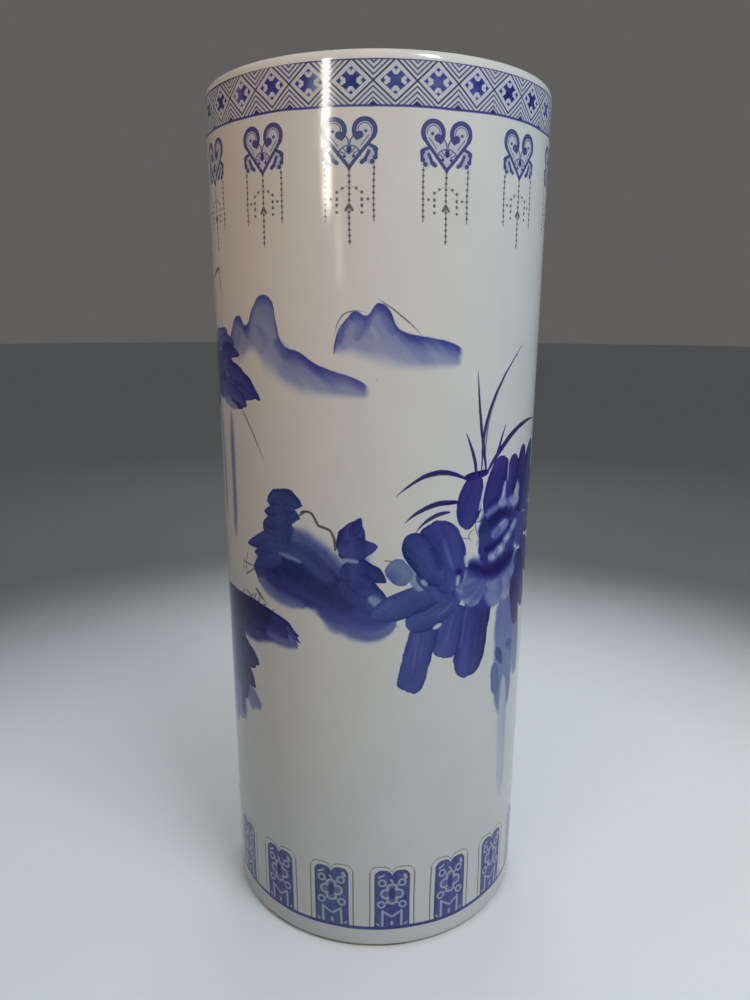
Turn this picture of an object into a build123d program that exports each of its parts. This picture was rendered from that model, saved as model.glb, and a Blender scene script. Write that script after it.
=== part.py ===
from build123d import *
import os

# Umbrella stand: a tall glazed ceramic cylinder, open at the top, that stands on the floor.
#
# It is built the way a potter builds it from leather-hard clay, each member turned about the
# upright axis and luted to the next with slip. The tapered wall carries the lip ring in a groove
# at its mouth. The floor slab is let into the wall from below, up to a shoulder. The foot ring
# closes that joint, carries the slab and lifts the wall's lower edge clear of the ground. A coil
# of clay seals the inside corner between the wall and the slab.
#
# Millimetres, +Z up. The origin is on the ground, at the centre of the foot.

# Overall sizes
overall_height = 610.0
mouth_diameter = 243.0
heel_diameter = 233.0

# Wall
wall_thickness = 8.0
heel_round = 2.0

# Lip ring: both sides of its top are rounded over the ring's whole height
lip_height = 6.0
lip_outer_round = 4.0
lip_inner_round = 3.0
tongue_width = 2.6
tongue_depth = 3.0

# Floor slab
slab_thickness = 12.0
slab_let_in = 3.0

# Foot ring
foot_height = 10.0
foot_show = 2.5
foot_tread = 14.0
foot_edge_round = 1.0

# Corner coil
coil_leg = 9.0
coil_edge = 0.8

# Room for the joining slip, on each side of a luted joint
lute_gap = 0.2

# Heights and radii that follow from the sizes above
wall_bottom = foot_show
wall_top = overall_height - lip_height
slab_bottom = foot_height
slab_top = foot_height + slab_thickness
heel_radius = heel_diameter / 2
mouth_radius = mouth_diameter / 2
taper = (mouth_radius - heel_radius) / (wall_top - wall_bottom)
seat_radius = heel_radius - wall_thickness + slab_let_in
let_in_radius = seat_radius - lute_gap

# A round is never wider than its share of the wall that it is cut from
heel_share = 0.45
lip_outer_share = 0.5
lip_inner_share = 0.4
heel_cut = min(heel_round, heel_share * (heel_radius - seat_radius))
lip_outer_cut = min(lip_outer_round, lip_outer_share * wall_thickness)
lip_inner_cut = min(lip_inner_round, lip_inner_share * wall_thickness)


def outside(height):
    """Radius of the wall's outer face at a height."""
    return heel_radius + taper * (height - wall_bottom)


def inside(height):
    """Radius of the wall's inner face at a height."""
    return outside(height) - wall_thickness


def turned(draw_section):
    """Turn a closed section, drawn as radius and height, about the upright axis."""
    with BuildPart() as member:
        with BuildSketch(Plane.XZ):
            with BuildLine():
                draw_section()
            make_face()
        revolve(axis=Axis.Z)
    return member.part


def wall_section():
    """Tapered wall: rounded heel, shouldered seat for the slab and foot, groove for the lip."""
    groove_middle = mouth_radius - wall_thickness / 2
    groove_half = tongue_width / 2 + lute_gap
    groove_floor = wall_top - tongue_depth - lute_gap
    heel_edge = wall_bottom + heel_cut
    Polyline(
        (heel_radius - heel_cut, wall_bottom),
        (seat_radius, wall_bottom),
        (seat_radius, slab_top),
        (inside(slab_top), slab_top),
        (inside(wall_top), wall_top),
        (groove_middle - groove_half, wall_top),
        (groove_middle - groove_half, groove_floor),
        (groove_middle + groove_half, groove_floor),
        (groove_middle + groove_half, wall_top),
        (mouth_radius, wall_top),
        (outside(heel_edge), heel_edge),
    )
    RadiusArc((outside(heel_edge), heel_edge), (heel_radius - heel_cut, wall_bottom), heel_cut)


def lip_section():
    """Rounded lip with a tongue below that drops into the wall's groove."""
    outer = mouth_radius
    inner = mouth_radius - wall_thickness
    middle = mouth_radius - wall_thickness / 2
    half = tongue_width / 2
    outer_crown = outer - lip_outer_cut
    inner_crown = inner + lip_inner_cut
    EllipticalCenterArc((outer_crown, wall_top), lip_outer_cut, lip_height, start_angle=0, arc_size=90)
    Line((outer_crown, overall_height), (inner_crown, overall_height))
    EllipticalCenterArc((inner_crown, wall_top), lip_inner_cut, lip_height, start_angle=90, arc_size=90)
    Polyline(
        (inner, wall_top),
        (middle - half, wall_top),
        (middle - half, wall_top - tongue_depth),
        (middle + half, wall_top - tongue_depth),
        (middle + half, wall_top),
        (outer, wall_top),
    )


def slab_section():
    """Round floor slab, let into the wall's seat up to the shoulder."""
    Polyline(
        (0, slab_bottom),
        (let_in_radius, slab_bottom),
        (let_in_radius, slab_top),
        (0, slab_top),
        close=True,
    )


def foot_section():
    """Foot ring: a tread under the wall's lower edge and an upstand that carries the slab."""
    tread_outer = heel_radius - heel_cut
    tread_inner = tread_outer - foot_tread
    FilletPolyline(
        (let_in_radius, slab_bottom),
        (let_in_radius, wall_bottom),
        (tread_outer, wall_bottom),
        (tread_outer, 0),
        (tread_inner, 0),
        (tread_inner, slab_bottom),
        radius=(0, 0, foot_edge_round, foot_edge_round),
    )
    Line((tread_inner, slab_bottom), (let_in_radius, slab_bottom))


def coil_section():
    """Coil pressed into the inside corner, hollowed by the thumb that smoothed it."""
    coil_top = slab_top + coil_leg
    outer_low = inside(slab_top) - lute_gap
    outer_high = inside(coil_top) - lute_gap
    inner_low = outer_low - coil_leg
    RadiusArc((inner_low, slab_top + coil_edge), (outer_high - coil_edge, coil_top), -coil_leg)
    Polyline(
        (outer_high - coil_edge, coil_top),
        (outer_high, coil_top),
        (outer_low, slab_top),
        (inner_low, slab_top),
        (inner_low, slab_top + coil_edge),
    )


members = {
    "wall": wall_section,
    "lip_ring": lip_section,
    "base_slab": slab_section,
    "foot_ring": foot_section,
    "corner_coil": coil_section,
}

os.makedirs("parts", exist_ok=True)
for node, section in members.items():
    export_step(turned(section), f"parts/{node}.step")
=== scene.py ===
"""Umbrella stand: a tall glazed cylinder painted in cobalt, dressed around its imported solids."""

import math
from collections import namedtuple

import bmesh
import bpy
from mathutils import Matrix, Vector


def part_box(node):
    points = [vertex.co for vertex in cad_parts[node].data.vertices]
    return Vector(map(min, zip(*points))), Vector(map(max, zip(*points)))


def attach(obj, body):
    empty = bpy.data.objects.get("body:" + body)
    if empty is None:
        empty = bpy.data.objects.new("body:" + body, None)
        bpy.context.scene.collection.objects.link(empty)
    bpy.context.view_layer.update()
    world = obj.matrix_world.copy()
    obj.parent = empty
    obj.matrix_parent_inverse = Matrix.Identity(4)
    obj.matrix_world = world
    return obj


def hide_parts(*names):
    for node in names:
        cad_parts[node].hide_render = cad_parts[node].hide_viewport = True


bl_info = {
    "name": "Painted Umbrella Stand",
    "version": (1, 0, 0),
    "blender": (4, 5, 0),
    "location": "View3D > Sidebar > Stand",
    "description": "Turns a glazed umbrella stand and paints its borders and garden scene in cobalt",
    "category": "Add Mesh",
}

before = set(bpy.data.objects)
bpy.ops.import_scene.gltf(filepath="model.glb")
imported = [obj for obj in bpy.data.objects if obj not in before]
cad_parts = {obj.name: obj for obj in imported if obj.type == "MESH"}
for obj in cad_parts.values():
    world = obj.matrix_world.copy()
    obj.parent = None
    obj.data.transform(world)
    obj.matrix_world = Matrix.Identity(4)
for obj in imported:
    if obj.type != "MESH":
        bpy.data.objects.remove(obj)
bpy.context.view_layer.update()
wall_low, wall_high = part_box("wall")
lip_low, lip_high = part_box("lip_ring")
slab_low, slab_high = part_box("base_slab")
foot_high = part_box("foot_ring")[1]
coil_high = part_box("corner_coil")[1]

BODY = "root"
MM = 0.001
BAKE_MAP = "OFBake"

# The painting is laid out on the unrolled wall in millimetres: around from the middle of the
# front, rightwards, and up from the ground. One radius turns angles into lengths at every height.
UNROLL_RADIUS = 119.0
GIRTH = 2.0 * math.pi * UNROLL_RADIUS

# The garden scene is painted twice round the wall, so one copy of it is half the girth wide
SCENE_WIDTH = GIRTH / 2.0

# Fields that the scene is painted in, each with only its own strokes
SCENE_FIELDS = 6

# How far the hairs of the brush tremble beside their line
BRUSH_TREMBLE = 1.2

# Refraction of the glaze, the depth of its ripple, and the depth of the bare clay's tooth
GLAZE_IOR = 1.36
RIPPLE_DEPTH = 0.00012
TOOTH_DEPTH = 0.0003

# Which of the swellings a turned face gets, and the angle past which an edge stays sharp
SWELL_SEED = 3.7
SHARP_EDGE = math.radians(38.0)

# Heights at which one band of the painting gives way to the next, in plain ground
LAPPETS_FROM = 9.0
SCENE_FROM = 76.0
HEARTS_FROM = 498.0
BAND_FROM = 577.5


def number_property(name, description, default, **kind):
    """A number among the settings."""
    return bpy.props.FloatProperty(name=name, description=description, default=default, **kind)


def length_property(name, description, default):
    """A length in metres among the settings."""
    return number_property(name, description, default, unit="LENGTH")


def angle_property(name, description, default):
    """An angle in radians among the settings."""
    return number_property(name, description, default, subtype="ANGLE")


def count_property(name, description, default):
    """A count of things among the settings."""
    return bpy.props.IntProperty(name=name, description=description, default=default)


def colour_property(name, description, default):
    """A colour among the settings."""
    return bpy.props.FloatVectorProperty(
        name=name, description=description, default=default, subtype="COLOR"
    )


class StandSizes(bpy.types.PropertyGroup):
    """Sizes of the clay members."""

    mouth_radius: length_property("Mouth radius", "Outer radius of the wall at its top", wall_high.x)
    heel_radius: length_property("Heel radius", "Outer radius of the wall at its lower edge", 0.1165)
    wall_thickness: length_property("Wall thickness", "Thickness of the wall", 0.008)
    heel_round: length_property("Heel round", "Radius of the wall's lower edge", 0.002)
    lip_outer_round: length_property(
        "Lip outer round", "Width of the rounding on the outside of the lip", 0.004
    )
    lip_inner_round: length_property(
        "Lip inner round", "Width of the rounding on the inside of the lip", 0.003
    )
    tongue_width: length_property("Tongue width", "Width of the tongue under the lip", 0.0026)
    lute_gap: length_property("Slip gap", "Room for slip on each side of a luted joint", 0.0002)
    edge_round: length_property(
        "Edge round", "Radius of the small edges of the slab, the coil and the foot", 0.001
    )
    unevenness: length_property("Unevenness", "How far the turned faces wander in and out", 0.0005)
    swell: number_property("Swell", "Number of swellings in a metre of the turned faces", 11.0)
    columns: count_property("Columns", "Faces round each turned member, a multiple of twelve", 240)


class StandPaint(bpy.types.PropertyGroup):
    """Colours of glaze, cobalt and clay, and the counts of the borders."""

    glaze: colour_property("Glaze", "Clear glaze over the white body", (0.602, 0.600, 0.588))
    cobalt_pale: colour_property("Palest cobalt", "A first watery wash", (0.350, 0.385, 0.500))
    cobalt_light: colour_property("Light cobalt", "A wash", (0.150, 0.180, 0.375))
    cobalt_mid: colour_property("Cobalt", "A full brush", (0.055, 0.065, 0.270))
    cobalt_deep: colour_property(
        "Deep cobalt", "Where the brush rests and the colour pools", (0.017, 0.019, 0.138)
    )
    cobalt_dark: colour_property(
        "Darkest cobalt", "Two coats of the fullest brush", (0.003, 0.003, 0.062)
    )
    ink: colour_property(
        "Ink", "Grey ink of the printed lines and the finest brush", (0.045, 0.042, 0.062)
    )
    speck: colour_property("Speck", "Specks of iron in the glaze", (0.16, 0.12, 0.09))
    clay: colour_property("Clay", "Unglazed clay of the foot and the underside", (0.420, 0.360, 0.290))
    clay_stain: colour_property(
        "Clay stain", "Dirt that the unglazed clay has taken up", (0.170, 0.135, 0.105)
    )
    diamonds: count_property("Diamonds", "Diamonds in the rim band", 30)
    hearts: count_property("Hearts", "Heart-shaped cloud heads below the rim band", 13)
    lappets: count_property("Lappets", "Upright panels round the heel", 16)


class StandStage(bpy.types.PropertyGroup):
    """Camera, floor and light."""

    lens: number_property("Lens", "Focal length on a 36 mm sensor, in millimetres", 28.36)
    pitch: angle_property("Pitch", "How far the camera looks down", math.radians(13.453))
    heading: angle_property(
        "Heading", "How far the camera looks to the left of the stand's axis", math.radians(0.1212)
    )
    roll: angle_property("Roll", "Lean of the camera about its own line of sight", 0.0036)
    eye: bpy.props.FloatVectorProperty(
        name="Eye",
        description="Place of the camera",
        default=(0.0, -0.61294, 0.4645),
        subtype="XYZ",
        unit="LENGTH",
    )
    floor_colour: colour_property("Floor", "Colour of the floor", (0.86, 0.87, 0.885))
    # Painted pool of light on the floor: pale round the stand, darkening with distance to this far
    # colour
    floor_painted_falloff: colour_property(
        "Floor Painted Falloff", "Colour that the floor falls away to", (0.19, 0.188, 0.185)
    )
    floor_return: colour_property(
        "Floor Return", "Colour of the floor as the stand's own light meets it", (0.33, 0.37, 0.40)
    )
    background: colour_property("Background", "Colour behind the floor", (0.115, 0.112, 0.11))
    daylight: colour_property("Daylight", "Colour of the light from all round", (0.88, 0.96, 1.0))
    ambient: number_property("Ambient", "Strength of the even light from all round", 0.105)
    overhead: number_property(
        "Overhead", "Extra strength of that light straight from above", 0.44
    )


def feed(tree, socket, value):
    """Link a field to a socket, or set a plain value on it."""
    if isinstance(value, Field):
        tree.links.new(value.socket, socket)
    else:
        socket.default_value = value


def added(tree, kind, inputs=(), output=0, **settings):
    """Add a node, set it up, feed its inputs, and return one of its outputs as a field."""
    node = tree.nodes.new(kind)
    for name, value in settings.items():
        setattr(node, name, value)
    for label, value in dict(inputs).items():
        feed(tree, node.inputs[label], value)
    return Field(tree, node.outputs[output])


class Field:
    """A value that varies over a surface. Arithmetic on it adds nodes to its tree."""

    def __init__(self, tree, socket):
        self.tree = tree
        self.socket = socket

    def math(self, operation, *others):
        return added(self.tree, "ShaderNodeMath", enumerate((self, *others)), operation=operation)

    def vector(self, operation, *others):
        output = "Value" if operation in ("DOT_PRODUCT", "DISTANCE", "LENGTH") else "Vector"
        values = enumerate((self, *others))
        return added(self.tree, "ShaderNodeVectorMath", values, output, operation=operation)

    def __add__(self, other):
        return self.math("ADD", other)

    def __sub__(self, other):
        return self.math("SUBTRACT", other)

    def __rsub__(self, other):
        return added(self.tree, "ShaderNodeMath", {0: other, 1: self}, operation="SUBTRACT")

    def __mul__(self, other):
        return self.math("MULTIPLY", other)

    def __truediv__(self, other):
        return self.math("DIVIDE", other)

    def __pow__(self, other):
        return self.math("POWER", other)

    def __abs__(self):
        return self.math("ABSOLUTE")

    __radd__ = __add__
    __rmul__ = __mul__

    def most(self, other):
        return self.math("MAXIMUM", other)

    def least(self, other):
        return self.math("MINIMUM", other)

    def folded(self, width):
        """The distance past the middle of a repeat of this width, negative before the middle."""
        return self.math("WRAP", width / 2.0, -width / 2.0)

    def ramp(self, start, end, low=0.0, high=1.0):
        """Goes smoothly from low to high as the value goes from start to end."""
        values = {"Value": self, "From Min": start, "From Max": end, "To Min": low, "To Max": high}
        settings = {"interpolation_type": "SMOOTHSTEP", "clamp": False}
        return added(self.tree, "ShaderNodeMapRange", values, "Result", **settings)

    def within(self, soft=0.3):
        """One where a distance is negative, nought where it is positive."""
        return self.ramp(soft, -soft)

    def mixed(self, other, share):
        """This value with a share of another laid over it."""
        return added(self.tree, "ShaderNodeMix", {"Factor": share, "A": self, "B": other}, "Result")


def joined(x, y, z=0.0):
    """One vector field from number fields."""
    return added(x.tree, "ShaderNodeCombineXYZ", enumerate((x, y, z)))


def parts(field, kind="ShaderNodeSeparateXYZ"):
    """The three number fields of a vector field, or of a colour field."""
    first = added(field.tree, kind, {0: field})
    return [Field(field.tree, socket) for socket in first.socket.node.outputs]


def blended(tree, share, colour, other):
    """A colour with a share of another laid over it, each of them a field or a plain colour."""
    values = {0: share}
    for index, value in ((6, colour), (7, other)):
        values[index] = value if isinstance(value, Field) else (*value, 1.0)
    return added(tree, "ShaderNodeMix", values, 2, data_type="RGBA")


def noise(place, scale, detail=2.0, colour=False):
    """Cloudy noise, as a number about 0.5 or as three of them."""
    values = {"Vector": place, "Scale": scale, "Detail": detail}
    return added(place.tree, "ShaderNodeTexNoise", values, "Color" if colour else "Fac")


def node_group(name, inputs, outputs, kind="ShaderNodeTree"):
    """An empty node group, with its input fields and its output node."""
    tree = bpy.data.node_groups.new(name, kind)
    for side, sockets in (("INPUT", inputs), ("OUTPUT", outputs)):
        for label, value in sockets.items():
            tree.interface.new_socket(name=label, in_out=side, socket_type="NodeSocket" + value)
    start = tree.nodes.new("NodeGroupInput")
    end = tree.nodes.new("NodeGroupOutput")
    fields = {label: Field(tree, start.outputs[label]) for label in inputs}
    return tree, fields, end


def border_group(name):
    """An empty node group for a border, from a place on the unrolled wall to its paint."""
    place = {"Around": "Float", "Height": "Float"}
    return node_group(name, place, {"Pigment": "Float", "Ink": "Float"})[1:]


def give(end, **values):
    """Feed fields to the outputs of a group and return its tree."""
    tree = end.id_data
    for label, value in values.items():
        feed(tree, end.inputs[label], value)
    return tree


def placed(tree, group, **values):
    """Put a node group in a tree and return its output fields by name."""
    first = added(tree, "ShaderNodeGroup", values, node_tree=group)
    return {socket.name: Field(tree, socket) for socket in first.socket.node.outputs}


def unrolled_group():
    """Where a point is on the unrolled wall, with the small wander of a painter's hand."""
    _, given, end = node_group(
        "Unrolled Wall", {"Object": "Vector"}, {"Around": "Float", "Height": "Float"}
    )
    hand_scale = 21.0
    hand_wander = 2.6
    x, y, z = parts(given["Object"])
    angle = x.math("ARCTAN2", y * -1.0)
    wander = parts(noise(given["Object"], hand_scale, 1.5, colour=True))
    around = angle * UNROLL_RADIUS + (wander[0] - 0.5) * hand_wander
    height = z / MM + (wander[1] - 0.5) * hand_wander
    return give(end, Around=around, Height=height)


RISING = ("Level", "Low Rise", "Rise", "High Rise")
FALLING = ("Upright", "High Fall", "Fall", "Low Fall")
HAIR_COURSES = RISING + FALLING

# Courses whose streaks shake a stroke sideways, shake it up and down, and streak the hills
TREMBLES = ("Level", "Upright", "Fall")


def hairs_group():
    """Streaks that the hairs of a brush leave, for strokes that run in each of eight courses."""
    _, given, end = node_group(
        "Brush Hairs", {"Object": "Vector"}, {course: "Color" for course in HAIR_COURSES}
    )
    streaks_along = 0.022
    streaks_across = 0.10
    x, y, z = parts(given["Object"])
    around = (x.math("ARCTAN2", y * -1.0) * UNROLL_RADIUS).folded(SCENE_WIDTH)
    place = joined(around, z / MM)
    streaks = {}
    for index, course in enumerate(HAIR_COURSES):
        angle = math.pi * index / len(HAIR_COURSES)
        course_x = math.cos(angle)
        course_z = math.sin(angle)
        along = place.vector("DOT_PRODUCT", (course_x, course_z, 0.0)) * streaks_along
        across = place.vector("DOT_PRODUCT", (-course_z, course_x, 0.0)) * streaks_across
        streaks[course] = noise(joined(along, across), 1.0, 5.0, colour=True)
    return give(end, **streaks)


Stroke = namedtuple("Stroke", "root tip half tone bend belly blunt point soft fade dry torn")
STROKE_NUMBERS = Stroke._fields[2:]


def stroke_group():
    """One stroke of a loaded brush over what is already painted."""
    inputs = {label: "Vector" for label in ("Place", "Root", "Run", "Across")}
    inputs.update({label: "Float" for label in ("Under", "Hairs", "Cross Hairs")})
    inputs.update({name.title(): "Float" for name in STROKE_NUMBERS})
    _, given, end = node_group("Brush Stroke", inputs, {"Pigment": "Float"})
    streak_strength = 0.50
    pool_strength = 0.14
    one_sided = 0.05
    ragged_side = 0.44
    ragged_end = 0.16
    past_end = 60.0
    thinnest = 0.2
    pool_edge = 4.0
    tone_trim = 0.02
    hairs = given["Hairs"]
    dry = given["Dry"]
    from_root = given["Place"].vector("SUBTRACT", given["Root"])
    level = from_root.vector("DOT_PRODUCT", given["Run"])
    run = hairs.math("MULTIPLY_ADD", dry * ragged_end, level)
    along = run.math("MAXIMUM", 0.0).math("MINIMUM", 1.0)
    arch = along * (1.0 - along) * given["Bend"]
    across = from_root.vector("DOT_PRODUCT", given["Across"]) - arch * 4.0
    swelling = abs((along ** given["Belly"]).math("MULTIPLY_ADD", 2.0, -1.0))
    half = ((1.0 - swelling ** given["Blunt"]) ** given["Point"]) * given["Half"]
    ragged = given["Cross Hairs"].math("MULTIPLY_ADD", given["Torn"], hairs * (dry * ragged_side))
    half = half.math("MULTIPLY_ADD", ragged, half)
    reach = abs(across)
    outside = reach - half + abs(run - along) * past_end
    cover = outside.ramp(given["Soft"], given["Soft"] * -1.0)
    pool = (reach / (half + thinnest)).least(1.0) ** pool_edge
    load = (across / (given["Half"] + thinnest)) * one_sided
    load = pool.math("MULTIPLY_ADD", dry * pool_strength, load)
    tone = hairs.math("MULTIPLY_ADD", given["Tone"] * dry * streak_strength, load)
    tone = tone + (given["Tone"] - tone_trim)
    tone = tone * (1.0 - along * given["Fade"])
    tone = tone.most(0.0).least(1.0)
    return give(end, Pigment=given["Under"].mixed(tone, cover))


def leaf(x0, z0, x1, z1, half, tone, bend=0.0, belly=1.0, blunt=3.0):
    """A broad leaf or petal with round ends."""
    return Stroke((x0, z0), (x1, z1), half, tone, bend, belly, blunt, 0.5, 0.5, 0.0, 1.0, 0.2)


def torn_leaf(x0, z0, x1, z1, half, tone, bend=0.0, belly=1.0):
    """A leaf with round ends and torn sides."""
    return Stroke((x0, z0), (x1, z1), half, tone, bend, belly, 2.6, 0.6, 0.5, 0.0, 1.0, 0.9)


def sharp_leaf(x0, z0, x1, z1, half, tone, bend=0.0, belly=0.8):
    """A leaf that runs out to a point, with torn sides."""
    return Stroke((x0, z0), (x1, z1), half, tone, bend, belly, 2.0, 0.75, 0.5, 0.0, 0.8, 0.8)


def wash(x0, z0, x1, z1, half, tone, soft=3.0, bend=0.0, fade=0.0):
    """A watery patch with a soft edge."""
    return Stroke((x0, z0), (x1, z1), half, tone, bend, 1.0, 3.0, 0.5, soft, fade, 0.65, 0.3)


def blade(x0, z0, x1, z1, half, tone=0.82, bend=0.0, belly=0.6):
    """A blade of grass or a twig, thick at its root."""
    return Stroke((x0, z0), (x1, z1), half, tone, bend, belly, 2.0, 0.8, 0.35, 0.0, 0.6, 0.1)


def line(x0, z0, x1, z1, half, tone=0.75, bend=0.0):
    """A line of even width."""
    return Stroke((x0, z0), (x1, z1), half, tone, bend, 1.0, 8.0, 0.5, 0.35, 0.0, 0.6, 0.1)


# Strokes of the garden scene, each from its root to its tip, in the order in which they are laid
HILL_FACETS = (
    wash(-88, 454, -78, 440, 5.0, 0.40, soft=5.0),
    wash(-69, 446, -58, 436, 2.0, 0.60, soft=4.0),
    wash(-105, 454, -110, 442, 3.6, 0.46, soft=3.6),
    wash(-22, 456, -24, 445, 1.4, 0.54, soft=2.2),
    wash(-9, 459, -13, 447, 2.0, 0.50, soft=3.0),
    wash(-4, 456, 2, 447, 2.2, 0.34, soft=3.4),
    wash(4, 463, 11, 451, 2.2, 0.58, soft=3.2),
)
LEFT_LEAVES = (
    torn_leaf(-146, 432, -170, 463, 8.0, 0.62, bend=2),
    torn_leaf(-150, 430, -181, 443, 9.0, 0.74, bend=1.5),
    torn_leaf(-150, 418, -182, 414, 9.5, 0.78),
    torn_leaf(-148, 410, -178, 386, 9.0, 0.70, bend=-2),
    wash(-166, 432, -126, 414, 16, 0.68, soft=2.5),
    torn_leaf(-152, 449, -121, 450.5, 4.4, 0.64, bend=-1),
    torn_leaf(-148, 442, -110, 443, 5.0, 0.66, bend=1.5),
    sharp_leaf(-138, 437, -104, 436, 5.0, 0.78, bend=2),
    torn_leaf(-146, 426, -112, 427, 8.0, 0.69),
    wash(-128, 423, -116, 415, 3.4, 0.56, soft=2.0),
    wash(-136, 409, -110, 402, 5.0, 0.50, soft=1.6),
    wash(-136, 415, -122, 408, 4.6, 0.60, soft=2.4),
    sharp_leaf(-126, 429, -83, 406.5, 6.2, 0.78, bend=3),
    sharp_leaf(-128, 419, -88, 407.5, 5.2, 0.70, bend=-1),
    torn_leaf(-126, 414, -97, 402.5, 5.6, 0.68),
    sharp_leaf(-120, 404, -103, 400, 2.6, 0.84),
    wash(-130, 405, -110, 400, 2.4, 0.40, soft=1.2),
    wash(-121, 396, -123, 306, 3.2, 0.46, soft=3.0),
    wash(-148, 402, -143, 318, 2.4, 0.36, soft=2.6, bend=2),
)
ROCK = (
    wash(-61, 321, -14, 279, 12, 0.60, soft=5.0),
    wash(-42, 279, 13, 258.5, 14.5, 0.56, soft=3.2, bend=-5),
    wash(-50, 288, 12, 266, 13.0, 0.73, soft=6.0, bend=-5),
    wash(-64, 310, -48, 299, 6.0, 0.66, soft=3.4),
    wash(-96, 291, -20, 282, 16.5, 0.71, soft=2.2),
    wash(-91, 282, -50, 270.5, 5.0, 0.50, soft=2.4, bend=-3.5),
    wash(-84, 293, -12, 278, 12, 0.86, soft=9.0),
    wash(-60, 312, -28, 290, 6.0, 0.72, soft=5.0),
    sharp_leaf(-60, 318, -104, 304.5, 7.4, 0.70, belly=0.6),
    sharp_leaf(-62, 309, -96, 299.5, 6.6, 0.71),
    sharp_leaf(-68, 300, -96, 291, 6.0, 0.73),
    torn_leaf(-85, 320, -57, 322, 8.2, 0.70, bend=2),
    sharp_leaf(-66, 327, -85, 322.5, 4.6, 0.74),
    torn_leaf(-80, 331, -53.5, 332, 7.2, 0.69, bend=-0.5),
    sharp_leaf(-68, 335, -83, 331.5, 4.0, 0.73),
    sharp_leaf(-70, 333, -52, 330.5, 4.0, 0.72),
    torn_leaf(-79, 340, -51, 341, 7.6, 0.69, bend=2),
    sharp_leaf(-66, 343.5, -80, 339.5, 4.0, 0.73),
    sharp_leaf(-66, 345, -50, 339.5, 4.4, 0.75),
    wash(-69, 343, -67, 306, 5.6, 0.74, soft=8.0),
    wash(-71, 303.5, -52, 300.6, 1.8, 0.44, soft=1.6, bend=0.6),
    wash(-24, 290, 4, 268, 8.0, 0.76, soft=3.0),
    torn_leaf(-16, 303, -14, 331.5, 9.6, 0.72, bend=2, belly=0.85),
    sharp_leaf(-26, 312, 1.0, 315, 7.0, 0.72),
    sharp_leaf(-17, 321, -10, 334.5, 3.6, 0.78),
    torn_leaf(-25, 296, -1, 299.5, 7.2, 0.77, bend=1),
    sharp_leaf(-14, 301, 6.5, 290.5, 5.4, 0.84, bend=1.5),
    sharp_leaf(-18, 289, 8, 275.5, 6.0, 0.80, bend=2),
    wash(-15, 322, -12, 286, 5.6, 0.75, soft=7.0),
    wash(-11, 294, -3, 289, 3.4, 0.78, soft=2.4),
    wash(-23, 305.6, -12, 304.4, 1.5, 0.38, soft=1.4),
    wash(-5, 280, 6, 271.5, 3.8, 0.42, soft=2.0),
)
LOW_ROCK = (
    wash(-134, 202, -128, 156, 13, 0.62, soft=3.0, fade=0.35),
    wash(-122, 194, -95, 178, 6.4, 0.46, soft=2.5),
    wash(-118, 186, -104, 174, 4.0, 0.40, soft=2.0),
    wash(-154, 196, -142, 148, 10, 0.56, soft=4.0),
    wash(-162, 246, -178, 240, 5.0, 0.46, soft=2.6),
    leaf(-154, 252, -182, 247, 7.5, 0.84),
    sharp_leaf(-148, 230, -180, 217, 8.0, 0.92, bend=-1),
    sharp_leaf(-148, 214, -176, 196, 7.0, 0.90, bend=-1),
    wash(-147, 256, -138, 186, 17, 0.84, soft=2.5),
    wash(-92, 241.5, -56, 239.5, 6.0, 0.52, soft=2.6, bend=1),
    wash(-120, 241, -76, 246, 9.0, 0.80, soft=3.0, bend=-2),
    leaf(-127, 252, -119, 176, 11, 0.84),
    wash(-96, 248, -57, 244.5, 6.0, 0.76, soft=2.4, bend=2),
    leaf(-168, 251, -57, 247.5, 11.0, 0.84, bend=4.5, belly=0.9, blunt=3.0),
    wash(-140, 254, -80, 253, 8.0, 1.0, soft=5.0),
    wash(-86, 242.5, -60, 240, 3.4, 0.58, soft=3.4),
    blade(-66, 252, -54, 241, 2.0, 0.70),
    blade(-64, 246, -56, 236.5, 1.8, 0.56),
    sharp_leaf(-128, 225, -96, 213.5, 8.0, 0.92, bend=1),
    sharp_leaf(-126, 216, -100, 210, 4.6, 0.92, bend=-1),
    sharp_leaf(-124, 206, -101, 193, 6.6, 0.92, bend=1),
    wash(-123, 188, -124, 162, 3.0, 0.80, soft=2.0),
)
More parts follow.
